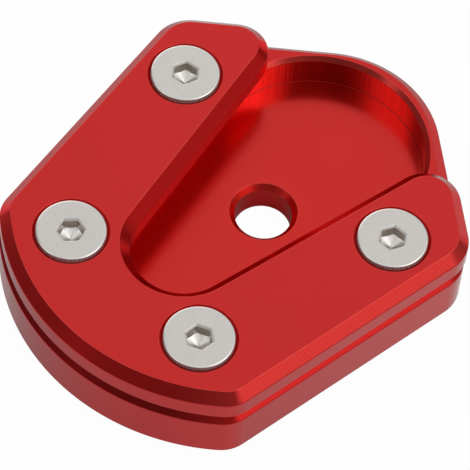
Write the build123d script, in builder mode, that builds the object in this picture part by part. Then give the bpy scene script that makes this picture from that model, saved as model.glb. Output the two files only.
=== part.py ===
from build123d import *
import os

os.makedirs("parts", exist_ok=True)

# Kickstand foot enlarger: a wide foot clamped round the small foot of a motorbike's side stand.
# A thick base plate has a pocket that the stand's foot sits in. A fork-shaped clamp plate lies on it,
# reaches over the pocket's edge with a lip and is pulled down by four countersunk screws.
# Millimetres. The origin is the centre hole's axis at the underside, +Z is up and +Y points to the
# round nose at the rear. The part is symmetric about the YZ plane.

# Plates
base_thickness = 12.2
clamp_thickness = 5.5
clamp_chamfer = 1.8  # round the clamp plate's top edge
base_chamfer = 1.7  # round the base plate's top edge
underside_chamfer = 2.2  # round the edge that stands on the ground
lower_edge_break = 0.45  # on the clamp plate's lower edge

# Outline that both plates share, measured from the centre hole
half_width = 33.4  # to the flank, level with the centre hole
flank_angle = 8.6  # each flank leans outward toward the rear
front_reach = 48.15
front_radius = 40.15
front_corner_radius = 6.0
nose_reach = 35.6
nose_radius = 19.9
shoulder_angle = 38.9  # straight edges that run from the nose down to the flanks
shoulder_corner_radius = 7.0
clamp_set_back = 0.35  # the clamp plate's outline lies this far behind the base plate's

# Pocket for the stand's foot, the hull of a front and a rear circle
pocket_depth = 6.5
pocket_front_y = -20.65
pocket_front_radius = 12.45
pocket_rear_radius = 19.15
nose_wall = 3.55  # between the pocket and the nose
pocket_chamfer = 0.75

# Slot of the clamp plate
lip = 3.55  # how far the clamp plate reaches over the pocket's edge
arm_tip_radius = 5.9

# Centre hole through the pocket's floor
hole_diameter = 10.0
hole_chamfer = 0.95

# Countersunk screws with a hexagon socket, and where they stand
screw_diameter = 6.0
screw_length = 14.0
head_diameter = 12.0
head_edge = 1.0  # straight edge above the head's cone
head_proud = 0.42  # height of the head above the clamp plate
head_break = 0.15
tip_chamfer = 0.8
socket_across_flats = 4.0
socket_depth = 2.3
socket_bevel = 0.32
socket_point_depth = 0.9  # conical bottom below the hexagon
rear_screw_x = 24.25
rear_screw_y = 5.0
front_screw_x = 14.9
front_screw_y = -32.3
screw_turns = (8.5, 46.5, 24.0, 2.5)  # degrees that each socket was left at when tightened

# Fits
screw_hole_clearance = 0.3  # radial, in the clamp plate
thread_gap = 0.03  # radial, in the base plate
seat_gap = 0.02  # between the head's cone and its countersink
tapped_run_out = 1.2  # tapped hole beyond the screw's tip

# Levels and places that follow from the sizes above
pocket_floor = base_thickness - pocket_depth
pocket_rear_y = nose_reach - nose_wall - pocket_rear_radius
clamp_top = base_thickness + clamp_thickness
head_radius = head_diameter / 2
screw_radius = screw_diameter / 2
screw_places = (
    (-rear_screw_x, rear_screw_y),
    (-front_screw_x, front_screw_y),
    (front_screw_x, front_screw_y),
    (rear_screw_x, rear_screw_y),
)

# Outline of both plates: front arc, flanks, shoulders and nose, drawn on one side and mirrored
front_centre = Vector(0, front_radius - front_reach)
flank_direction = Vector(0, 1).rotate(Axis.Z, -flank_angle)
shoulder_direction = Vector(1, 0).rotate(Axis.Z, -shoulder_angle)
nose_end = Vector(0, nose_reach - nose_radius) + Vector(0, nose_radius).rotate(Axis.Z, -shoulder_angle)

with BuildSketch() as plate_outline:
    with BuildLine():
        flank_line = PolarLine((half_width, 0), nose_reach, direction=flank_direction, mode=Mode.PRIVATE)
        front_circle = CenterArc(front_centre, front_radius, 0, -90, mode=Mode.PRIVATE)
        nose = RadiusArc((0, nose_reach), nose_end, nose_radius)
        shoulder = IntersectingLine(nose_end, shoulder_direction, flank_line)
        flank = IntersectingLine(shoulder @ 1, -flank_direction, front_circle)
        front = RadiusArc(flank @ 1, (0, -front_reach), front_radius)
        mirror(about=Plane.YZ)
    make_face()
    fillet(plate_outline.vertices().group_by(Axis.Y)[1], shoulder_corner_radius)
    fillet(plate_outline.vertices().group_by(Axis.Y)[0], front_corner_radius)

# Pocket in plan
with BuildSketch() as pocket_outline:
    with Locations((0, pocket_front_y)):
        Circle(pocket_front_radius)
    with Locations((0, pocket_rear_y)):
        Circle(pocket_rear_radius)
    make_hull()

# Slot in plan: the pocket drawn in by the lip, its straight sides carried on past the nose
slot_taper = (pocket_rear_radius - pocket_front_radius) / (pocket_rear_y - pocket_front_y)
slot_front_radius = pocket_front_radius - lip
slot_mouth_radius = slot_front_radius + slot_taper * (nose_reach - pocket_front_y)

with BuildSketch() as slot_outline:
    with Locations((0, pocket_front_y)):
        Circle(slot_front_radius)
    with Locations((0, nose_reach)):
        Circle(slot_mouth_radius)
    make_hull()

# Base plate: chamfered block, foot pocket, centre hole and four tapped holes
tapped_depth = screw_length - head_proud - clamp_thickness + tapped_run_out

with BuildPart() as base_plate:
    with BuildSketch():
        add(plate_outline.sketch)
    extrude(amount=base_thickness)
    chamfer(base_plate.edges().group_by(Axis.Z)[0], underside_chamfer)
    chamfer(base_plate.edges().group_by(Axis.Z)[-1], base_chamfer)
    with BuildSketch(Plane.XY.offset(base_thickness)):
        add(pocket_outline.sketch)
    extrude(amount=-pocket_depth, mode=Mode.SUBTRACT)
    pocket_rim = base_plate.faces().sort_by(Axis.Z)[-1].inner_wires()[0]
    chamfer(pocket_rim.edges(), pocket_chamfer)
    with Locations((0, 0, pocket_floor)):
        CounterSinkHole(hole_diameter / 2, hole_diameter / 2 + hole_chamfer, counter_sink_angle=90)
    with Locations(*[(x, y, base_thickness) for x, y in screw_places]):
        Hole(screw_radius + thread_gap, depth=tapped_depth)

base_plate.part.label = "base_plate"
export_step(base_plate.part, "parts/base_plate.step")

# Clamp plate: fork with rounded arm tips, chamfered round its top and lower edges, with countersunk holes
countersink_radius = head_radius + head_edge - head_proud + seat_gap

with BuildPart() as clamp_plate:
    with BuildSketch(Plane.XY.offset(base_thickness)) as fork:
        with Locations((0, clamp_set_back)):
            add(plate_outline.sketch)
        add(slot_outline.sketch, mode=Mode.SUBTRACT)
        fillet(fork.vertices().sort_by(Axis.Y)[-2:], arm_tip_radius)
    extrude(amount=clamp_thickness)
    chamfer(clamp_plate.edges().group_by(Axis.Z)[0], lower_edge_break)
    chamfer(clamp_plate.edges().group_by(Axis.Z)[-1], clamp_chamfer)
    with Locations(*[(x, y, clamp_top) for x, y in screw_places]):
        CounterSinkHole(screw_radius + screw_hole_clearance, countersink_radius, counter_sink_angle=90)

clamp_plate.part.label = "clamp_plate"
export_step(clamp_plate.part, "parts/clamp_plate.step")

# One screw with the top of its head at zero: a turned blank and a hexagon socket with a conical bottom
cone_end = head_edge + head_radius - screw_radius

with BuildPart() as screw:
    with BuildSketch(Plane.XZ):
        with BuildLine():
            Polyline(
                (0, 0),
                (head_radius - head_break, 0),
                (head_radius, -head_break),
                (head_radius, -head_edge),
                (screw_radius, -cone_end),
                (screw_radius, tip_chamfer - screw_length),
                (screw_radius - tip_chamfer, -screw_length),
                (0, -screw_length),
                close=True,
            )
        make_face()
    revolve(axis=Axis.Z)
    with BuildSketch() as socket:
        RegularPolygon(socket_across_flats / 2, 6, major_radius=False)
    extrude(amount=-socket_depth, mode=Mode.SUBTRACT)
    socket_mouth = screw.faces().sort_by(Axis.Z)[-1].inner_wires()[0]
    chamfer(socket_mouth.edges(), socket_bevel)
    with Locations((0, 0, -socket_depth)):
        Cone(
            0,
            socket_across_flats / 2,
            socket_point_depth,
            align=(Align.CENTER, Align.CENTER, Align.MAX),
            mode=Mode.SUBTRACT,
        )

# The four screws in their places
head_top = clamp_top + head_proud

with BuildPart() as clamp_screws:
    for (x, y), turn in zip(screw_places, screw_turns):
        with Locations(Location((x, y, head_top), (0, 0, turn))):
            add(screw.part)

clamp_screws.part.label = "clamp_screws"
export_step(clamp_screws.part, "parts/clamp_screws.step")
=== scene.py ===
import math

import bpy
import numpy as np
from mathutils import Matrix, Vector
from mathutils.geometry import tessellate_polygon


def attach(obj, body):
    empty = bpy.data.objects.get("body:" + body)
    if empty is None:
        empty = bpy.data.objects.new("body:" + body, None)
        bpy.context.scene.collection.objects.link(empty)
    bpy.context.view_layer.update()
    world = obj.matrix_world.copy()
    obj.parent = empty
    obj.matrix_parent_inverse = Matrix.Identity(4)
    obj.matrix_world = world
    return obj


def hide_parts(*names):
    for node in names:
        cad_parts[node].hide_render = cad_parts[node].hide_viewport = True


# Kickstand foot enlarger. Lengths are millimetres here and become metres in the meshes.
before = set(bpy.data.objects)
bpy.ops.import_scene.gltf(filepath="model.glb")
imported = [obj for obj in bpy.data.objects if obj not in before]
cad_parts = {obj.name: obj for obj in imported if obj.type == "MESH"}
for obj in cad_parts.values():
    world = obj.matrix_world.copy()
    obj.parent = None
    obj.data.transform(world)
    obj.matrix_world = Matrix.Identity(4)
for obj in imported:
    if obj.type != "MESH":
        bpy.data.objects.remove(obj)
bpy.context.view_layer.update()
mm = 0.001  # a millimetre in metres
print("frame loaded:", ", ".join(sorted(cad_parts)))

# Kinds of surface, which the finishes tell apart

# On the plates. From slotEdge on they have the brighter of the two red finishes.
plain, chamfer, wall, bore, groove, rim, sink = range(7)
slotEdge, slotWall, pocketWall, pocketFloor, holeEdge = range(7, 12)

# On the screws
bare, headFace, headSide, socketPoint, socketWall, socketBevel = range(6)

# Flat outlines

meshStep = {"arc": 0.8, "line": 3.0, "leastOnArc": 4}  # longest steps, and the least number on an arc
touching = 1e-6  # ends of arcs that are closer than this are one point


def unit(angle):  # the direction at an angle in degrees
    return np.array([math.cos(math.radians(angle)), math.sin(math.radians(angle))])


def directions(ways):  # the directions at many angles in radians
    return np.stack([np.cos(ways), np.sin(ways)], -1)


# An arc is centre x, centre y, radius, first angle, last angle and side. Its point is
# centre + radius * (cos, sin) and its outward normal is side * (cos, sin): side +1 has the material
# inside the arc, -1 outside it. A closed outline is such arcs in turn, joined by their common tangents.
def outlineFromArcs(arcs):
    arcs = np.asarray(arcs, float)
    starts = arcs[:, :2] + arcs[:, 2:3] * directions(np.radians(arcs[:, 3]))
    points, normals = [], []
    for arc, nextStart in zip(arcs, np.roll(starts, -1, axis=0)):
        centre, (radius, first, last, side) = arc[:2], arc[2:]
        arcLength = abs(math.radians(last - first)) * radius
        steps = max(meshStep["leastOnArc"], math.ceil(arcLength / meshStep["arc"]))
        radial = directions(np.radians(np.linspace(first, last, steps + 1)))
        onArc = centre + radius * radial
        gap = nextStart - onArc[-1]
        lineLength = np.linalg.norm(gap)
        lineSteps = max(1, math.ceil(lineLength / meshStep["line"]))
        onLine = onArc[-1] + np.linspace(0, 1, lineSteps + 1)[1:-1, None] * gap
        lineNormals = np.repeat(side * radial[-1:], len(onLine), axis=0)
        if lineLength < touching:  # the next arc starts here
            onArc, radial = onArc[:-1], radial[:-1]
        points += [onArc, onLine]
        normals += [side * radial, lineNormals]
    points = np.concatenate(points)
    stepLength = np.linalg.norm(np.roll(points, -1, axis=0) - points, axis=1)
    along = np.concatenate([[0], np.cumsum(stepLength)])
    return {"points": points, "normals": np.concatenate(normals), "along": along}


def mirrored(arc):  # the same arc on the other side of the YZ plane, run the other way
    x, y, radius, first, last, side = arc
    return (-x, y, radius, 180 - last, 180 - first, side)


def holeOutline(x, y, radius, steps):  # a whole circle with the material outside it
    radial = directions(np.linspace(0, 2 * np.pi, steps, endpoint=False))
    along = np.linspace(0, 2 * np.pi * radius, steps + 1)
    return {"points": (x, y) + radius * radial, "normals": -radial, "along": along}


def lineMeet(normalA, offsetA, normalB, offsetB):  # where two lines meet, each normal . p = offset
    return np.linalg.solve(np.array([normalA, normalB]), np.array([offsetA, offsetB]))


# Profiles and shells

away = 9.0  # inset of a profile's end corners, which only has to lie past the others


# A profile is a line of corners (inset, height) that runs from low to high with free space on its left.
# Its end corners only give the ends' direction. Every other corner becomes a small arc:
# centre + turn * radius * n, where n swings from the normal of the run before to that of the run after and
# turn is +1 on an outer corner and -1 in an inner one. A point beside either end of the arc lies on the flat.
# edge is turn times the wear and shade level on the arcs and 0 beside them: above 0 it marks worn edges,
# below 0 painted shade. strip is the number of a run, or -1 on an arc.
def roundedProfile(corners, radius, wearAndShade=1.0, flat=0.12, arcSteps=4):
    corners = np.asarray(corners, float)
    run = np.diff(corners, axis=0)
    run /= np.linalg.norm(run, axis=1, keepdims=True)
    normal = np.stack([-run[:, 1], run[:, 0]], 1)
    before, after = normal[:-1], normal[1:]
    count = len(before)
    radius, wearAndShade = (np.broadcast_to(np.asarray(level, float), count)[:, None] for level in (radius, wearAndShade))
    turn = -np.sign(run[:-1, 0] * run[1:, 1] - run[:-1, 1] * run[1:, 0])[:, None]
    cosine = (before * after).sum(1, keepdims=True)
    centre = corners[1:-1] - turn * radius * (before + after) / (1 + cosine)
    swing = np.arccos(np.clip(cosine, -1, 1))[:, None]
    share = np.linspace(0, 1, arcSteps + 1)[None, :, None]
    ways = np.sin((1 - share) * swing) * before[:, None] + np.sin(share * swing) * after[:, None]
    ways /= np.sin(swing)
    arc = centre[:, None] + (turn * radius)[:, None] * ways
    first = arc[:, :1] - flat * run[:-1, None]
    last = arc[:, -1:] + flat * run[1:, None]
    points = np.concatenate([first, arc, last], 1).reshape(-1, 2)
    normals = np.concatenate([before[:, None], ways, after[:, None]], 1).reshape(-1, 2)
    edge = (turn * wearAndShade * np.r_[0.0, np.ones(arcSteps + 1), 0.0]).ravel()
    number = np.arange(count)[:, None]
    onArc = np.full((count, arcSteps), -1)
    strip = np.hstack([number, onArc, number + 1, number + 1]).ravel()[:-1]
    across = np.r_[0, np.cumsum(np.linalg.norm(np.diff(points, axis=0), axis=1))]
    return {"points": points, "normals": normals, "edge": edge, "strip": strip, "across": across}


def newShell():
    return {"points": [], "normals": [], "edge": [], "quads": [], "quadUv": [], "quadKind": [],
            "tris": [], "triUv": [], "triKind": [], "count": 0}


# Rows of points joined into closed rings of quads, with UV = (along a row, across the rows).
# along has one value more than a row has points, so that a ring's last quad has a far end of its own.
def ringGrid(along, across):
    index = np.arange(len(across) * (len(along) - 1)).reshape(len(across), -1)
    right = np.roll(index, -1, axis=1)
    here, there = (np.stack(np.meshgrid(u, across), -1) for u in (along[:-1], along[1:]))
    quads = np.stack([index[:-1], right[:-1], right[1:], index[1:]], -1).reshape(-1, 4)
    uv = np.stack([here[:-1], there[:-1], there[1:], here[1:]], 2).reshape(-1, 4, 2)
    return index, quads, uv


def quadFacing(points, quads):  # cross product of each quad's diagonals
    corner = points[quads]
    return np.cross(corner[:, 2] - corner[:, 0], corner[:, 3] - corner[:, 1])


def addQuads(shell, points, normals, edge, quads, uv, kind):
    shell["points"].append(points)
    shell["normals"].append(normals)
    shell["edge"].append(edge)
    shell["quads"].append(quads + shell["count"])
    shell["quadUv"].append(uv)
    shell["quadKind"].append(kind)
    shell["count"] += len(points)


def addTris(shell, tris, uv, kind):
    shell["tris"].append(tris)
    shell["triUv"].append(uv)
    shell["triKind"].append(np.full(len(tris), kind))


# Carries a profile along an outline: point = outline point - inset * outline normal, at the profile's height.
# kinds has a number for each run of the profile, and rounded corners are plain. Where the outline has a mask
# "inner", innerKinds are used instead and edge isn't below 0. Returns the two end rings.
def addSweep(shell, outline, profile, kinds, innerKinds=None):
    inset, height = profile["points"].T
    normalIn, normalUp = profile["normals"].T
    flat = outline["points"][None] - inset[:, None, None] * outline["normals"][None]
    side = -normalIn[:, None, None] * outline["normals"][None]
    rows, columns = flat.shape[:2]
    points = np.dstack([flat, np.broadcast_to(height[:, None], (rows, columns))]).reshape(-1, 3)
    normals = np.dstack([side, np.broadcast_to(normalUp[:, None], (rows, columns))]).reshape(-1, 3)
    index, quads, uv = ringGrid(outline["along"], profile["across"])
    if (quadFacing(points, quads) * normals[quads[:, 0]]).sum() < 0:  # faces look outward
        quads, uv = quads[:, ::-1], uv[:, ::-1]
    onRun = np.maximum(profile["strip"], 0)
    kind = np.repeat(np.asarray(kinds)[onRun][:, None], columns, axis=1)
    edge = np.repeat(profile["edge"][:, None], columns, axis=1)
    if innerKinds is not None:
        kind = np.where(outline["inner"][None], np.asarray(innerKinds)[onRun][:, None], kind)
        edge = np.where(outline["inner"][None], np.maximum(edge, 0), edge)
    kind = np.where(profile["strip"][:, None] < 0, plain, kind)
    start = shell["count"]
    addQuads(shell, points, normals, edge.ravel(), quads, uv, kind.ravel())
    return start + index[0], start + index[-1]


# Closes a flat place between rings that are already there, the outer ring first. up is +1 or -1.
def addFlat(shell, rings, up, kind=plain):
    points = np.concatenate(shell["points"])
    tris = np.concatenate(rings)[np.array(tessellate_polygon([points[ring].tolist() for ring in rings]))]
    a, b, c = points[tris].swapaxes(0, 1)
    wrong = np.cross(b - a, c - a)[:, 2] * up < 0
    tris[wrong] = tris[wrong][:, ::-1]
    addTris(shell, tris, points[tris][..., :2], kind)


# Rings of equal counts, from high to low, joined into a closed surface with a point at either end.
# A point's normal is the sum of the faces round it, each weighed by its area.
def addLathe(shell, points, centre, way, across, edge, kind):
    index, quads, uv = ringGrid(np.r_[way, 2 * np.pi], across)
    turnedOver = [0, 3, 2, 1]  # corners of a quad that looks outward here
    quads, uv = quads[:, turnedOver], uv[:, turnedOver]
    ends = np.array([[*centre, points[0, 0, 2]], [*centre, points[-1, 0, 2]]])
    points = np.concatenate([points.reshape(-1, 3), ends])
    facing = quadFacing(points, quads)
    normals = np.zeros_like(points)
    for corner in quads.T:
        np.add.at(normals, corner, facing)
    normals[-2:] = (0, 0, 1), (0, 0, -1)
    normals /= np.linalg.norm(normals, axis=1, keepdims=True)
    right = np.roll(index, -1, axis=1)
    first, last = np.full_like(index[0], index.size), np.full_like(index[0], index.size + 1)
    tris = np.concatenate([np.stack([first, index[0], right[0]], -1),
                           np.stack([last, right[-1], index[-1]], -1)])
    addTris(shell, tris + shell["count"], np.zeros((len(tris), 3, 2)), bare)
    edge, kind = (np.repeat(level, index.shape[1]) for level in (edge, kind))
    addQuads(shell, points, normals, np.r_[edge, 0, 0], quads, uv, kind)


def addObject(name, data):
    item = bpy.data.objects.new(name, data)
    bpy.context.scene.collection.objects.link(item)
    return item


def pieceFromShell(name, shell):
    points, normals, quads, tris, edge = (
        np.concatenate(shell[key]) for key in ("points", "normals", "quads", "tris", "edge"))
    mesh = bpy.data.meshes.new(name)
    mesh.from_pydata((points * mm).tolist(), [], quads.tolist() + tris.tolist())
    mesh.polygons.foreach_set("use_smooth", np.ones(len(mesh.polygons), bool))
    uv = np.concatenate([part.reshape(-1, 2) for part in shell["quadUv"] + shell["triUv"]])
    mesh.uv_layers.new(name="cutUv").data.foreach_set("uv", uv.astype(np.float32).ravel())
    kind = np.concatenate(shell["quadKind"] + shell["triKind"])
    for label, domain, values in (("edge", "POINT", edge), ("cutKind", "FACE", kind)):
        mesh.attributes.new(label, "FLOAT", domain).data.foreach_set("value", values.astype(np.float32))
    mesh.polygons.foreach_set("material_index", (kind >= slotEdge).astype(np.int32))  # 1 is the brighter red
    mesh.update()
    mesh.normals_split_custom_set_from_vertices(normals.tolist())
    print(name, "made:", len(points), "points,", 2 * len(quads) + len(tris), "triangles")
    return addObject(name, mesh)


# Outline that both plates share, drawn on the right and mirrored

plate = {
    "halfWidth": 33.4, "flankAngle": 8.6, "frontReach": 48.15, "frontRadius": 40.15, "frontCorner": 6.0,
    "noseReach": 35.6, "noseRadius": 19.9, "shoulderAngle": 38.9, "shoulderCorner": 7.0,
    "edgeRound": 0.14,  # the small round that the finish leaves on every edge
    "sideRound": 0.34,  # the softer one between a side and its chamfers
    "holeRound": 0.1,  # the one on the edges of holes and of the pocket
    "sideShade": -0.4,  # below 0, so painted shade darkens that edge instead of wear
}
screwPlaces = [(-24.25, 5.0), (-14.9, -32.3), (14.9, -32.3), (24.25, 5.0)]

flankWay = -plate["flankAngle"]
shoulderWay = 90 - plate["shoulderAngle"]
flankOffset = unit(flankWay) @ (plate["halfWidth"], 0)
noseCentreY = plate["noseReach"] - plate["noseRadius"]
shoulderOffset = unit(shoulderWay) @ (0, noseCentreY) + plate["noseRadius"]
frontCentreY = plate["frontRadius"] - plate["frontReach"]
shoulderCentre = lineMeet(unit(flankWay), flankOffset - plate["shoulderCorner"],
                          unit(shoulderWay), shoulderOffset - plate["shoulderCorner"])

# The front corner's centre is a corner radius inside the flank line and inside the front circle
cornerReach = plate["frontRadius"] - plate["frontCorner"]
flankGap = flankOffset - plate["frontCorner"] - unit(flankWay) @ (0, frontCentreY)
frontWay = flankWay - math.degrees(math.acos(flankGap / cornerReach))
frontCentre = np.array([0, frontCentreY]) + cornerReach * unit(frontWay)

frontArc = (0, frontCentreY, plate["frontRadius"], -180 - frontWay, frontWay, 1)
frontCorner = (*frontCentre, plate["frontCorner"], frontWay, flankWay, 1)
shoulderCorner = (*shoulderCentre, plate["shoulderCorner"], flankWay, shoulderWay, 1)
noseArc = (0, noseCentreY, plate["noseRadius"], shoulderWay, 180 - shoulderWay, 1)
plateOutline = outlineFromArcs(
    [frontArc, frontCorner, shoulderCorner, noseArc, mirrored(shoulderCorner), mirrored(frontCorner)])
print("plate outline:", round(plateOutline["along"][-1], 1), "mm round")

# Base plate: chamfered block with the foot pocket, the centre hole and four tapped holes

base = {
    "thickness": 12.2, "topChamfer": 1.7, "undersideChamfer": 2.2,
    "pocketFloor": 5.7, "pocketFrontY": -20.65, "pocketFrontRadius": 12.45,
    "pocketRearY": 12.9, "pocketRearRadius": 19.15, "pocketChamfer": 0.75,
    "floorRound": 0.08, "floorShade": 0.35,  # where the pocket's wall meets its floor; being an inner corner, it gets painted shade
    "holeRadius": 5.0, "holeChamfer": 0.95, "holeSteps": 96,
    "tappedRadius": 3.03, "tappedBottom": 2.92, "tappedSteps": 48,
}
pocketLength = base["pocketRearY"] - base["pocketFrontY"]
slotTaper = (base["pocketRearRadius"] - base["pocketFrontRadius"]) / pocketLength
taperAngle = math.degrees(math.asin(slotTaper))


def makeBasePlate():
    shell = newShell()
    top, floor, holeRound = base["thickness"], base["pocketFloor"], plate["holeRound"]
    under, upper = base["undersideChamfer"], base["topChamfer"]
    edgeRound, sideRound, sideShade = plate["edgeRound"], plate["sideRound"], plate["sideShade"]
    outside = roundedProfile(
        [(away, 0), (under, 0), (0, under), (0, top - upper), (upper, top), (away, top)],
        [edgeRound, sideRound, sideRound, edgeRound], wearAndShade=[1.0, sideShade, sideShade, 1.0])
    underRing, topRing = addSweep(shell, plateOutline, outside, [plain, chamfer, wall, groove, plain])
    pocketOutline = outlineFromArcs([
        (0, base["pocketRearY"], base["pocketRearRadius"], -taperAngle, 180 + taperAngle, -1),
        (0, base["pocketFrontY"], base["pocketFrontRadius"], 180 + taperAngle, 360 - taperAngle, -1),
    ])
    bevel = base["pocketChamfer"]
    pocket = roundedProfile(
        [(-away, floor), (0, floor), (0, top - bevel), (bevel, top), (away, top)],
        [base["floorRound"], holeRound, holeRound], wearAndShade=[base["floorShade"], 1.0, 1.0])
    floorRing, rimRing = addSweep(shell, pocketOutline, pocket, [pocketFloor, pocketWall, rim, plain])
    lead = base["holeChamfer"]
    hole = roundedProfile([(away, 0), (0, 0), (0, floor - lead), (lead, floor), (away, floor)], holeRound)
    circle = holeOutline(0, 0, base["holeRadius"], base["holeSteps"])
    holeLow, holeHigh = addSweep(shell, circle, hole, [plain, bore, holeEdge, pocketFloor])
    bottom = base["tappedBottom"]
    tapped = roundedProfile([(-away, bottom), (0, bottom), (0, top), (away, top)], holeRound)
    circles = [holeOutline(x, y, base["tappedRadius"], base["tappedSteps"]) for x, y in screwPlaces]
    tappedRings = [addSweep(shell, circle, tapped, [plain, bore, plain]) for circle in circles]
    addFlat(shell, [underRing, holeLow], -1)
    addFlat(shell, [floorRing, holeHigh], 1, pocketFloor)
    addFlat(shell, [topRing, rimRing] + [high for low, high in tappedRings], 1)
    for low, high in tappedRings:
        addFlat(shell, [low], 1)
    return pieceFromShell("basePlate", shell)


# Clamp plate: a fork with rounded arm tips, chamfered all round, with four countersunk holes

clamp = {
    "bottom": 12.2, "top": 17.7, "topChamfer": 1.8, "setBack": 0.35,
    "lowerBreak": 0.45, "breakRound": 0.08, "breakWear": 0.5,
    "slotRadius": 8.9, "slotY": -20.65, "tipRadius": 5.9,
    "sideFacing": 0.5, "endFacing": 0.1,  # least share of a normal that counts as facing into the slot
    "screwHole": 3.3, "countersink": 6.6, "holeSteps": 120,
}


def forkOutline():
    back, tip = clamp["setBack"], clamp["tipRadius"]
    shared = (frontArc, frontCorner, shoulderCorner)
    front, corner, shoulder = ((x, y + back, *rest) for x, y, *rest in shared)
    slotWay = 180 - taperAngle  # way that the right arm's slot side faces
    slotOffset = unit(slotWay) @ (0, clamp["slotY"]) - clamp["slotRadius"]
    tipCentre = lineMeet(unit(shoulderWay), shoulderOffset + unit(shoulderWay)[1] * back - tip,
                         unit(slotWay), slotOffset - tip)
    tipArc = (*tipCentre, tip, shoulderWay, slotWay, 1)
    slotArc = (0, clamp["slotY"], clamp["slotRadius"], -taperAngle, taperAngle - 180, -1)
    outline = outlineFromArcs([front, corner, shoulder, tipArc, slotArc,
                               mirrored(tipArc), mirrored(shoulder), mirrored(corner)])
    # The slot's sides face the middle plane, and its round end faces the rear
    (x, y), (facesX, facesY) = outline["points"].T, outline["normals"].T
    onSide = x * facesX < -clamp["sideFacing"] * np.abs(x)
    onEnd = (facesY > clamp["endFacing"]) & (np.abs(x) < clamp["slotRadius"])
    outline["inner"] = onSide | onEnd
    return outline


def makeClampPlate():
    shell = newShell()
    low, high, bevel, lower = clamp["bottom"], clamp["top"], clamp["topChamfer"], clamp["lowerBreak"]
    breakRound = clamp["breakRound"]
    outside = roundedProfile(
        [(away, low), (lower, low), (0, low + lower), (0, high - bevel), (bevel, high), (away, high)],
        [breakRound, breakRound, plate["sideRound"], plate["edgeRound"]],
        wearAndShade=[1.0, clamp["breakWear"], plate["sideShade"], 1.0], flat=breakRound)
    underRing, topRing = addSweep(shell, forkOutline(), outside, [pocketFloor, plain, wall, chamfer, plain],
                                  [pocketFloor, plain, slotWall, slotEdge, plain])
    lead = clamp["countersink"] - clamp["screwHole"]
    hole = roundedProfile(
        [(away, low), (0, low), (0, high - lead), (lead, high), (away, high)], plate["holeRound"])
    circles = [holeOutline(x, y, clamp["screwHole"], clamp["holeSteps"]) for x, y in screwPlaces]
    holeRings = [addSweep(shell, circle, hole, [plain, bore, sink, plain]) for circle in circles]
    addFlat(shell, [underRing] + [lowRing for lowRing, highRing in holeRings], -1, pocketFloor)
    addFlat(shell, [topRing] + [highRing for lowRing, highRing in holeRings], 1)
    return pieceFromShell("clampPlate", shell)


# Countersunk screws with a hexagon socket

screw = {
    "headTop": 18.12, "headRadius": 6.0, "headEdge": 1.0, "headBreak": 0.15, "coneEnd": 4.0,
    "shankRadius": 3.0, "length": 14.0, "tipChamfer": 0.8, "tipRound": 0.05, "tipCentre": 0.4,
    "flats": 4.0, "socketDepth": 2.3, "socketBevel": 0.32, "pointDepth": 0.9, "cornerPower": 60,
    "turns": (8.5, 46.5, 24.0, 2.5), "steps": 360, "teeth": 90, "toothDepth": 0.10,
    "threadPitch": 1.0, "threadDepth": 0.55, "threadStart": 0.3, "threadRings": 26,
    "threadFlat": 0.1,  # share of the thread's wave that is cut flat at the crest, and at the root
}


# Rings from the socket's point to the head's rim, grouped by the kind of surface that follows each of them.
# A ring is its share of hexagon, half width or radius, depth below the head's top, and edge.
def headRings():
    half, deep, point = screw["flats"] / 2, screw["socketDepth"], screw["pointDepth"]
    bevel, head = screw["socketBevel"], screw["headRadius"]
    mouth = half + bevel
    groups = (
        (socketPoint, [(0, 0.06, deep + point - 0.012, 0), (0, 0.6, deep + 0.62 * point, 0),
                       (0, 1.3, deep + 0.33 * point, 0), (0, half - 0.12, deep + 0.06, 0)]),
        (bare, [(0.4, half - 0.04, deep + 0.015, 1)]),
        (socketWall, [(1, half - 0.03, deep - 0.01, 1), (1, half, deep - 0.06, 1), (1, half, deep - 0.2, 0),
                      (1, half, bevel + 0.5, 0), (1, half, bevel + 0.12, 0)]),
        (socketBevel, [(1, half, bevel + 0.04, 1), (1, half + 0.03, bevel - 0.04, 1),
                       (1, half + 0.07, bevel - 0.08, 0), (1, mouth - 0.1, 0.1, 0)]),
        (bare, [(1, mouth - 0.02, 0.022, 1), (1, mouth + 0.02, 0.003, 1), (0.98, mouth + 0.08, 0.001, 0),
                (0.5, mouth + 0.42, 0.001, 0), (0.12, mouth + 0.66, 0.001, 0)]),  # from hexagon to circle
        (headFace, [(0, 3.2, 0.001, 0), (0, 3.3, 0, 0), (0, 4.2, 0, 0), (0, 5.2, 0, 0),
                    (0, head - 0.4, 0, 0)]),
        (bare, [(0, head - 0.28, 0.006, 1), (0, head - 0.18, 0.02, 1), (0, head - 0.09, 0.06, 1),
                (0, head - 0.03, 0.11, 1)]),  # soft dome at the rim
    )
    rings = np.array([ring for kind, group in groups for ring in group])
    return rings.T, [kind for kind, group in groups for ring in group]


# Radius of a hexagon with soft corners whose half width is 1:
# 1 / (sum of cos(a - flat way) ** power) ** (1 / power), over the flats that face the angle a
def hexagonRadius(way):
    flatWays = np.radians(30 + 60 * np.arange(6))
    facing = np.maximum(np.cos(way[None] - flatWays[:, None]), 0)
    return (facing ** screw["cornerPower"]).sum(0) ** (-1 / screw["cornerPower"])


# A thread's radius is shank radius - depth * cut * fade. cut is a triangle wave with flat crest and root,
# once a pitch along the shank and once a turn round it, and fade lets the thread start over one pitch.
def threadRadius(way, below):
    phase = (below[:, None] / screw["threadPitch"] + way[None] / (2 * np.pi)) % 1
    wave = 1 - 2 * np.abs(phase - 0.5)
    cut = np.clip((wave - screw["threadFlat"]) / (1 - 2 * screw["threadFlat"]), 0, 1)
    fade = np.clip((below - below[0]) / screw["threadPitch"], 0, 1)[:, None]
    return screw["shankRadius"] - screw["threadDepth"] * cut * fade


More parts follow.
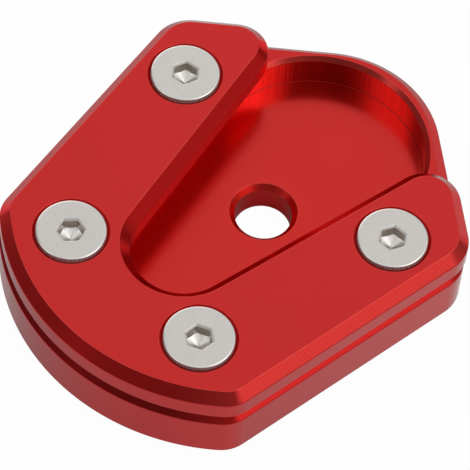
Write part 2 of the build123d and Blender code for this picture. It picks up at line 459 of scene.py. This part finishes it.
# A screw's rings from the socket's point over the head, its straight edge, the cone and the thread to the tip
def screwRings(way):
    (share, size, headBelow, edge), kind = headRings()
    head, edgeEnd, coneEnd, length = (screw[key] for key in ("headRadius", "headEdge", "coneEnd", "length"))
    share = share[:, None]
    headRadius = size[:, None] * (share * hexagonRadius(way)[None] + 1 - share)
    edgeStart = screw["headBreak"]
    edgeBelow, toothed, edgeMarks = np.array([  # straight edge: depth, share of the teeth's depth, edge
        (edgeStart, 0, 1), (edgeStart + 0.05, 1, 0), (0.5, 1, 0), (edgeEnd - 0.1, 1, 0),
        (edgeEnd - 0.03, 0, 1)]).T
    tooth = 0.5 - 0.5 * np.cos(screw["teeth"] * way)  # one groove a tooth
    edgeRadius = head - toothed[:, None] * screw["toothDepth"] * tooth
    coneBelow = np.array([edgeEnd + 0.06, coneEnd - 0.08, coneEnd])
    coneRadius = head - (coneBelow - edgeEnd)
    threadEnd = length - screw["tipChamfer"]
    threadBelow = np.linspace(coneEnd + screw["threadStart"], threadEnd, screw["threadRings"])
    shankRadius = threadRadius(way, threadBelow)
    tip, tipRound = screw["shankRadius"] - screw["tipChamfer"], screw["tipRound"]
    tipBelow, tipRadius = np.array([
        (length - 0.03, tip + tipRound), (length, tip - tipRound), (length, screw["tipCentre"])]).T
    whole = np.ones((1, len(way)))
    radius = np.concatenate([headRadius, edgeRadius, coneRadius[:, None] * whole, shankRadius,
                             np.minimum(tipRadius[:, None] * whole, shankRadius[-1:])])
    below = np.concatenate([headBelow, edgeBelow, coneBelow, threadBelow, tipBelow])
    rest = len(below) - len(headBelow) - len(edgeBelow)
    edge = np.concatenate([edge, edgeMarks, np.zeros(rest)])
    kind = np.concatenate([kind, np.full(len(edgeBelow) - 1, headSide), np.full(rest, bare)])
    return radius, below, edge, kind


# Point = screw's place + radius * (cos, sin), at the head's top less the ring's depth
def makeClampScrews():
    shell = newShell()
    way = np.linspace(0, 2 * np.pi, screw["steps"], endpoint=False)
    radius, below, edge, kind = screwRings(way)
    height = np.broadcast_to((screw["headTop"] - below)[:, None], radius.shape)
    across = np.r_[0, np.cumsum(np.hypot(np.diff(radius[:, 0]), np.diff(below)))]
    for place, turn in zip(screwPlaces, screw["turns"]):
        flat = radius[..., None] * directions(way + math.radians(turn)) + place
        addLathe(shell, np.dstack([flat, height]), place, way, across, edge, kind)
    return pieceFromShell("clampScrews", shell)


basePlate = makeBasePlate()
clampPlate = makeClampPlate()
clampScrews = makeClampScrews()

# Nodes that the materials share

wavePitch = math.pi / 10  # pitch of a wave texture's bands at scale 1
kindMargin = 0.25  # a surface is of a kind when its number is this close


def setInputs(tree, node, inputs):  # links sockets and sets plain values
    for name, value in inputs.items():
        if isinstance(value, bpy.types.NodeSocket):
            tree.links.new(value, node.inputs[name])
        else:
            node.inputs[name].default_value = value


def addNode(tree, kind, inputs=None, **settings):
    node = tree.nodes.new(kind)
    for key, value in settings.items():
        setattr(node, key, value)
    setInputs(tree, node, inputs or {})
    return node


def calculate(tree, operation, a, b, c=0.0, **settings):
    return addNode(tree, "ShaderNodeMath", {0: a, 1: b, 2: c}, operation=operation, **settings).outputs[0]


def dot(tree, place, way):
    return addNode(tree, "ShaderNodeVectorMath", {0: place, 1: way}, operation="DOT_PRODUCT").outputs["Value"]


def remap(tree, value, fromLow, fromHigh, toLow=0.0, toHigh=1.0, **settings):
    return addNode(tree, "ShaderNodeMapRange", {
        "Value": value, "From Min": fromLow, "From Max": fromHigh, "To Min": toLow, "To Max": toHigh},
        **settings).outputs["Result"]


def ramp(tree, length, reach, low, high):  # from low to high between two lengths
    return remap(tree, length, reach[0] * mm, reach[1] * mm, low, high)


def mixColours(tree, share, first, second):  # inputs 6 and 7 and output 2 are the node's colours
    return addNode(tree, "ShaderNodeMix", {0: share, 6: first, 7: second}, data_type="RGBA").outputs[2]


def layColours(tree, colour, layers):  # each layer is a mask, its share and a tone
    for mask, share, tone in layers:
        colour = mixColours(tree, calculate(tree, "MULTIPLY", mask, share), colour, tone)
    return colour


def noise(tree, vector, scale, detail, roughness=0.5):
    return addNode(tree, "ShaderNodeTexNoise", {
        "Vector": vector, "Scale": scale, "Detail": detail, "Roughness": roughness}).outputs["Fac"]


def bands(tree, uv, axis, pitch, distortion, detail):
    return addNode(tree, "ShaderNodeTexWave", {
        "Vector": uv, "Scale": wavePitch / pitch, "Distortion": distortion, "Detail": detail},
        wave_type="BANDS", bands_direction=axis, wave_profile="SIN").outputs["Fac"]


def bump(tree, height, depth, strength, **below):
    return addNode(tree, "ShaderNodeBump", {
        "Height": height, "Distance": depth * mm, "Strength": strength, **below}).outputs["Normal"]


def newGroup(name, scales, outputs):
    group = bpy.data.node_groups.new(name, "ShaderNodeTree")
    group.interface.new_socket("Vector", in_out="INPUT", socket_type="NodeSocketVector")
    for label, value in scales.items():
        socket = group.interface.new_socket(label, in_out="INPUT", socket_type="NodeSocketFloat")
        socket.default_value = value
    for label in outputs:
        group.interface.new_socket(label, in_out="OUTPUT", socket_type="NodeSocketFloat")
    return group, group.nodes.new("NodeGroupInput").outputs, group.nodes.new("NodeGroupOutput")


# Fine grain of a blasted metal face: small noise, and slow patches from handling
def makeGrainGroup():
    group, given, out = newGroup(
        "fineGrain", {"Grain Scale": 5000.0, "Patch Scale": 60.0}, ("Grain", "Patches"))
    setInputs(group, out, {
        "Grain": noise(group, given["Vector"], given["Grain Scale"], detail=2.0, roughness=0.6),
        "Patches": noise(group, given["Vector"], given["Patch Scale"], detail=4.0, roughness=0.55)})
    return group


# Edge wear and painted shade: the rounded edges worn, broken up by noise, and the places that are marked
# below 0 darkened as painted shade
def makeWearAndShadeGroup():
    group, given, out = newGroup("edgeWearAndShade", {"Break Up": 400.0}, ("Mask", "CreaseShade"))
    edge = addNode(group, "ShaderNodeAttribute", attribute_name="edge").outputs["Fac"]
    speckle = noise(group, given["Vector"], given["Break Up"], detail=3.0)
    worn = remap(group, speckle, fromLow=0.3, fromHigh=0.65, toLow=0.25)
    outer = calculate(group, "MAXIMUM", edge, 0.0)
    inner = calculate(group, "MAXIMUM", calculate(group, "MULTIPLY", edge, -1.0), 0.0)
    setInputs(group, out, {"Mask": calculate(group, "MULTIPLY", outer, worn), "CreaseShade": inner})
    return group


grainGroup = makeGrainGroup()
wearAndShadeGroup = makeWearAndShadeGroup()


# Starts a metal: its tree, shader, place, UV, a mask for each kind of surface, and the two groups' outputs
def newMetal(name, kinds, scales):
    material = bpy.data.materials.new(name)
    material.use_nodes = True
    tree = material.node_tree
    place = addNode(tree, "ShaderNodeTexCoord").outputs["Object"]
    uv = addNode(tree, "ShaderNodeUVMap", uv_map="cutUv").outputs["UV"]
    kind = addNode(tree, "ShaderNodeAttribute", attribute_name="cutKind").outputs["Fac"]
    masks = [calculate(tree, "COMPARE", kind, float(number), kindMargin) for number in range(kinds)]
    grain = addNode(tree, "ShaderNodeGroup", {"Vector": place, **scales}, node_tree=grainGroup).outputs
    wearAndShade = addNode(tree, "ShaderNodeGroup", {"Vector": place}, node_tree=wearAndShadeGroup).outputs
    return material, tree, tree.nodes["Principled BSDF"], place, uv, masks, grain, wearAndShade


def byKind(tree, masks, levels, start=0.0):  # one level for each kind of surface
    total = start
    for mask, level in zip(masks, levels):
        total = calculate(tree, "MULTIPLY_ADD", mask, level, total)
    return total


# Red anodised aluminium

redFinish = {
    # satin on the plates' outer faces and bright in the milled pocket
    "satin": {"colour": (0.82, 0.027, 0.026, 1), "deep": (0.76, 0.024, 0.023, 1),
              "edgeTint": (0.24, 0.02, 0.02, 1), "coatIor": 1.31},
    "bright": {"colour": (0.90, 0.009, 0.003, 1), "deep": (0.84, 0.008, 0.003, 1),
               "edgeTint": (0.9, 0.08, 0.08, 1), "coatIor": 1.5},
    # for each kind of surface, by number: roughness, coat, metallic share and, where it has its own, a tone
    "kinds": {
        plain: (0.36, 1.0, 1.0, None),
        chamfer: (0.20, 1.0, 1.0, (0.77, 0.008, 0.008, 1)),
        wall: (0.38, 1.0, 1.0, (0.64, 0.030, 0.032, 1)),
        bore: (0.40, 0.6, 0.9, None),
        # the groove's dark tone is painted shade under the clamp plate's lower edge
        groove: (0.22, 0.7, 1.0, (0.42, 0.005, 0.005, 1)),
        rim: (0.20, 0.6, 1.0, (0.97, 0.075, 0.06, 1)),
        sink: (0.30, 0.4, 0.7, (0.80, 0.015, 0.015, 1)),
        slotEdge: (0.20, 0.3, 1.0, (0.74, 0.006, 0.004, 1)),
        slotWall: (0.20, 0.7, 0.9, (0.43, 0.008, 0.008, 1)),
        pocketWall: (0.15, 1.0, 1.0, (0.73, 0.16, 0.12, 1)),
        pocketFloor: (0.24, 0.85, 0.84, None),
        holeEdge: (0.33, 0.3, 1.0, (0.86, 0.025, 0.018, 1)),
    },
    # the corner tone is painted shade, in inner corners and along the edges beside the sides
    "worn": (0.86, 0.09, 0.07, 1), "corner": (0.22, 0.002, 0.002, 1), "cut": (0.42, 0.003, 0.003, 1),
    # the two tones on this line are painted light on the lit rear right side, on its chamfers and in its
    # groove
    "paintedChamferLight": (0.93, 0.06, 0.045, 1), "lit": (0.73, 0.012, 0.010, 1),
    "tickPitch": 0.40, "ticksAndLightWay": (-0.8, -0.6, 0.0), "ticksAndLightReach": (0.0, 12.0), "tickRoughness": 0.03,
    "stripePitch": 0.5, "stripeStretch": 0.02, "stripeHeight": 15.0,  # height as a multiple of the ticks'
    "coatRoughness": 0.2, "patchRoughness": 0.08,
    "grainBump": (0.004, 0.3), "cutBump": (0.002, 0.4),  # depth and strength
}


def redAnodised(name):
    shade = redFinish[name]
    rough, coat, metallic, tones = zip(*redFinish["kinds"].values())
    material, tree, shader, place, uv, masks, grain, wearAndShade = newMetal(name + "Red", len(tones), {})
    # Cutter ticks across the chamfers and stripes down the pocket's wall: bands along the edge
    ticks = bands(tree, uv, "X", redFinish["tickPitch"], distortion=0.8, detail=1.0)
    ticks = remap(tree, ticks, fromLow=0.3, fromHigh=0.7)
    stretch = (1 / redFinish["stripePitch"], redFinish["stripeStretch"], 1)
    stripeUv = addNode(tree, "ShaderNodeMapping", {"Vector": uv, "Scale": stretch}).outputs["Vector"]
    stripes = noise(tree, stripeUv, scale=1.0, detail=1.0, roughness=0.6)
    stripes = remap(tree, stripes, fromLow=0.35, fromHigh=0.65)
    # The chamfers' ticks fade out toward the shaded front left, and the same mask paints light on the rear
    # right side's chamfers and groove
    ticksAndLitSide = ramp(tree, dot(tree, place, redFinish["ticksAndLightWay"]), redFinish["ticksAndLightReach"], 1.0, 0.0)
    litTickedChamfer = calculate(tree, "MULTIPLY", masks[chamfer], ticksAndLitSide)
    tickHeight = calculate(tree, "MULTIPLY", ticks, calculate(tree, "ADD", litTickedChamfer, masks[rim]))
    stripeHeight = calculate(tree, "MULTIPLY", stripes, masks[pocketWall])
    cuts = calculate(tree, "MULTIPLY_ADD", stripeHeight, redFinish["stripeHeight"], tickHeight)
    # Two close reds in slow patches, the kinds' tones, painted light on the lit side, deeper cuts, pale worn
    # edges, painted shade in bores and corners
    colour = mixColours(tree, grain["Patches"], shade["colour"], shade["deep"])
    layers = [(mask, 1.0, tone) for mask, tone in zip(masks, tones) if tone]
    layers += [
        # painted light: paler, brighter chamfers on the lit rear right side
        (litTickedChamfer, 0.5, redFinish["paintedChamferLight"]),
        # painted light: a brighter groove on the lit rear right side, over its painted shade
        (calculate(tree, "MULTIPLY", masks[groove], ticksAndLitSide), 1.0, redFinish["lit"]),
        (tickHeight, 0.5, redFinish["cut"]),
        (stripeHeight, 0.5, redFinish["cut"]),
        (calculate(tree, "MULTIPLY", ticks, masks[rim]), 0.35, redFinish["cut"]),  # the rim's ticks show more
        # painted shade inside the bores
        (masks[bore], 0.25, redFinish["cut"]),
        (wearAndShade["Mask"], 0.5, redFinish["worn"]),
        # painted shade in inner corners and along the edges beside the sides
        (wearAndShade["CreaseShade"], 0.8, redFinish["corner"]),
    ]
    patchRough = redFinish["patchRoughness"]
    patches = calculate(tree, "MULTIPLY_ADD", grain["Patches"], patchRough, -patchRough / 2)
    marks = calculate(tree, "MULTIPLY_ADD", tickHeight, redFinish["tickRoughness"], patches)
    fine = bump(tree, grain["Grain"], *redFinish["grainBump"])
    setInputs(tree, shader, {
        "Base Color": layColours(tree, colour, layers),
        "Roughness": byKind(tree, masks, rough, marks),
        "Metallic": byKind(tree, masks, metallic),
        "Specular Tint": shade["edgeTint"],
        "Coat Weight": byKind(tree, masks, coat),
        "Coat Roughness": redFinish["coatRoughness"],
        "Coat IOR": shade["coatIor"],
        "Normal": bump(tree, cuts, *redFinish["cutBump"], Normal=fine)})
    return material


# Steel of the screws

steelFinish = {
    "colour": (0.93, 0.90, 0.86, 1), "dull": (0.83, 0.79, 0.75, 1), "worn": (0.97, 0.95, 0.92, 1),
    # the two tones on this line are painted shade, on the socket's walls and in the knurl's valleys
    "shaded": (0.55, 0.50, 0.45, 1), "valleyShade": (0.22, 0.19, 0.18, 1),
    # for each kind of surface, by number: roughness and metallic share
    "kinds": {bare: (0.30, 1.0), headFace: (0.32, 1.0), headSide: (0.7, 0.4), socketPoint: (0.34, 1.0),
              socketWall: (0.34, 1.0), socketBevel: (0.45, 0.25)},
    "grainScales": {"Grain Scale": 2200.0, "Patch Scale": 300.0},
    "speckle": (1.6, -0.55),  # contrast and level
    "turningPitch": 0.18, "patchRoughness": 0.12,
    "grainBump": (0.006, 0.4), "turningBump": (0.003, 0.25),  # depth and strength
}


def screwSteel():
    rough, metallic = zip(*steelFinish["kinds"].values())
    material, tree, shader, _, uv, masks, grain, wearAndShade = newMetal(
        "screwSteel", len(rough), steelFinish["grainScales"])
    # Turning rings on the head's top: bands across the profile. Valleys of its knurled edge, darkened as
    # painted shade: bands round it.
    rings = bands(tree, uv, "Y", steelFinish["turningPitch"], distortion=1.2, detail=2.0)
    turning = calculate(tree, "MULTIPLY", rings, masks[headFace])
    shadedValleys = bands(tree, uv, "X", 2 * math.pi / screw["teeth"], distortion=0.0, detail=2.0)
    # Two close greys in speckles and patches, then bright edges, and painted shade on the socket walls and in
    # the knurl's valleys
    speckle = calculate(tree, "MULTIPLY_ADD", grain["Grain"], *steelFinish["speckle"])
    mottle = calculate(tree, "ADD", speckle, grain["Patches"], use_clamp=True)
    colour = mixColours(tree, mottle, steelFinish["colour"], steelFinish["dull"])
    layers = [
        (wearAndShade["Mask"], 0.8, steelFinish["worn"]),
        (masks[socketWall], 0.8, steelFinish["shaded"]),
        (calculate(tree, "MULTIPLY", shadedValleys, masks[headSide]), 0.9, steelFinish["valleyShade"]),
    ]
    patchRough = steelFinish["patchRoughness"]
    patches = calculate(tree, "MULTIPLY_ADD", grain["Patches"], patchRough, -patchRough / 2)
    fine = bump(tree, grain["Grain"], *steelFinish["grainBump"])
    setInputs(tree, shader, {
        "Base Color": layColours(tree, colour, layers),
        "Roughness": byKind(tree, masks, rough, patches),
        "Metallic": byKind(tree, masks, metallic),
        "Normal": bump(tree, turning, *steelFinish["turningBump"], Normal=fine)})
    return material


satinRed, brightRed = redAnodised("satin"), redAnodised("bright")
steel = screwSteel()
for piece, node, finishes, slot in (
    (basePlate, "base_plate", (satinRed, brightRed), "red_anodised"),
    (clampPlate, "clamp_plate", (satinRed, brightRed), "red_anodised"),
    (clampScrews, "clamp_screws", (steel,), "screw_steel"),
):
    for finish in finishes:
        piece.data.materials.append(finish)
    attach(piece, "root")
    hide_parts(node)
print("finishes on")

# Floor, light and camera

studio = {
    "floorSize": 6000.0, "floorDrop": 0.02, "floorColour": (0.9, 0.9, 0.9, 1), "floorGlow": 0.975,
    # the floor's glow in reflections, near the part and far away, with painted shadow on the part's shaded
    # side: a way along the floor and two levels
    "nearPaintedShadow": ((0.65, 0.65, 0.0), 0.36, 0.83), "farPaintedShade": ((0.75, 0.35, 0.0), 0.85, 0.70),
    "shadeReach": (-20.0, 30.0),  # along that way, where the first level ends and the second one starts
    "farFloor": (60.0, 110.0),  # from the hole, where the near level ends and the far one starts
    "paintedContactShadow": (10.0, 30.0),  # from the hole, where the glow is gone and where it is full: painted contact shadow under the part
    "roomLevel": 0.19,
    # soft boxes of the room: azimuth from +X, elevation, brightness, degrees to where each fades and ends
    "softBoxes": (
        (16, 40, 0.95, 16, 27), (9, 55, 0.32, 4, 12), (44, 22, 0.23, 8, 26), (-132, 53, 0.98, 8, 25),
        (-114, 34, 0.85, 2, 9), (90, 60, 0.46, 22, 42), (148, 20, 1.05, 14, 32), (-36, 38, 0.1, 10, 24),
        (-50, 57, -0.17, 13, 25), (-51, 79, 0.75, 8, 18)),
    "keyWay": (0.36, 0.32, 0.88), "keyDistance": 900.0, "keySize": 450.0, "keyBrightness": 0.8,
}


def seenDirectly(tree, path):  # rays straight from the camera, or through something clear
    return calculate(tree, "MAXIMUM", path.outputs["Is Camera Ray"], path.outputs["Is Transmission Ray"])


def mixShaders(tree, share, first, second):
    inputs = {0: share, 1: first.outputs[0], 2: second.outputs[0]}
    return addNode(tree, "ShaderNodeMixShader", inputs).outputs[0]


def floorMaterial():
    material = bpy.data.materials.new("paleFloor")
    material.use_nodes = True
    tree = material.node_tree
    tree.nodes.clear()
    path = addNode(tree, "ShaderNodeLightPath")
    place = addNode(tree, "ShaderNodeTexCoord").outputs["Object"]
    distance = addNode(tree, "ShaderNodeVectorMath", {0: place}, operation="LENGTH").outputs["Value"]
    # Reflections see the floor's glow with painted shadow: lower on the shaded side and gone under the part
    near, far = (ramp(tree, dot(tree, place, way), studio["shadeReach"], first, second)
                 for way, first, second in (studio["nearPaintedShadow"], studio["farPaintedShade"]))
    paintedShadowGloss = ramp(tree, distance, studio["farFloor"], near, far)
    paintedShadowGloss = ramp(tree, distance, studio["paintedContactShadow"], 0.0, paintedShadowGloss)
    seen = calculate(tree, "MULTIPLY", seenDirectly(tree, path), studio["floorGlow"])
    seen = calculate(tree, "MULTIPLY_ADD", path.outputs["Is Glossy Ray"], paintedShadowGloss, seen)
    paper = addNode(tree, "ShaderNodeBsdfDiffuse", {"Color": studio["floorColour"]})
    glow = addNode(tree, "ShaderNodeEmission", {"Color": (1, 1, 1, 1), "Strength": 1.0})
    addNode(tree, "ShaderNodeOutputMaterial", {"Surface": mixShaders(tree, seen, paper, glow)})
    return material


def makeFloor():
    half = studio["floorSize"] * mm / 2
    mesh = bpy.data.meshes.new("floor")
    corners = [(-half, -half, 0), (half, -half, 0), (half, half, 0), (-half, half, 0)]
    mesh.from_pydata(corners, [], [(0, 1, 2, 3)])
    mesh.materials.append(floorMaterial())
    floor = addObject("floor", mesh)
    floor.location.z = -studio["floorDrop"] * mm


def makeRoom():
    world = bpy.data.worlds.new("studioRoom")
    bpy.context.scene.world = world
    world.use_nodes = True
    tree = world.node_tree
    tree.nodes.clear()
    way = addNode(tree, "ShaderNodeTexCoord").outputs["Generated"]
    level = studio["roomLevel"]
    for azimuth, elevation, brightness, fades, ends in studio["softBoxes"]:
        flat, height = unit(elevation)
        near = dot(tree, way, (*(unit(azimuth) * flat), height))
        box = remap(tree, near, math.cos(math.radians(ends)), math.cos(math.radians(fades)),
                    0.0, brightness, interpolation_type="SMOOTHSTEP")
        level = calculate(tree, "ADD", box, level)
    room = addNode(tree, "ShaderNodeBackground", {"Color": level, "Strength": 1.0})
    white = addNode(tree, "ShaderNodeBackground", {"Color": (1, 1, 1, 1), "Strength": 1.0})
    seen = seenDirectly(tree, addNode(tree, "ShaderNodeLightPath"))
    addNode(tree, "ShaderNodeOutputWorld", {"Surface": mixShaders(tree, seen, room, white)})


def makeKeyLamp():
    way = Vector(studio["keyWay"]).normalized()
    lamp = bpy.data.lights.new("keyLamp", "AREA")
    lamp.shape = "SQUARE"
    lamp.size = studio["keySize"] * mm
    lamp.energy = studio["keyBrightness"] * math.pi * lamp.size ** 2  # watts for a face this bright
    key = addObject("keyLamp", lamp)
    key.location = way * studio["keyDistance"] * mm
    key.rotation_mode = "QUATERNION"
    key.rotation_quaternion = (-way).to_track_quat("-Z", "Y")


# The photograph's view, worked out from the places and ellipses of the four screw heads
camera = {
    "lens": 241.687, "sensor": 36.0, "clip": (0.01, 100.0),
    "azimuth": 39.361, "elevation": 56.108, "roll": 4.94,
    "distance": 530.05, "target": (5.0145, -13.3232, 17.7),
}


def makeCamera():
    azimuth, elevation, roll = (math.radians(camera[key]) for key in ("azimuth", "elevation", "roll"))
    back = Vector((math.sin(azimuth) * math.cos(elevation), -math.cos(azimuth) * math.cos(elevation),
                   math.sin(elevation)))
    right = Vector((math.cos(azimuth), math.sin(azimuth), 0))
    up = back.cross(right)
    turnedRight = right * math.cos(roll) + up * math.sin(roll)
    turnedUp = up * math.cos(roll) - right * math.sin(roll)
    data = bpy.data.cameras.new("camera")
    data.lens = camera["lens"]
    data.sensor_width = camera["sensor"]
    data.clip_start, data.clip_end = camera["clip"]
    view = addObject("camera", data)
    matrix = Matrix((turnedRight, turnedUp, back)).transposed().to_4x4()
    matrix.translation = (Vector(camera["target"]) + back * camera["distance"]) * mm
    view.matrix_world = matrix
    bpy.context.scene.camera = view


makeFloor()
makeRoom()
makeKeyLamp()
makeCamera()
bpy.context.scene.view_settings.view_transform = "Standard"
print("floor, light and camera set")
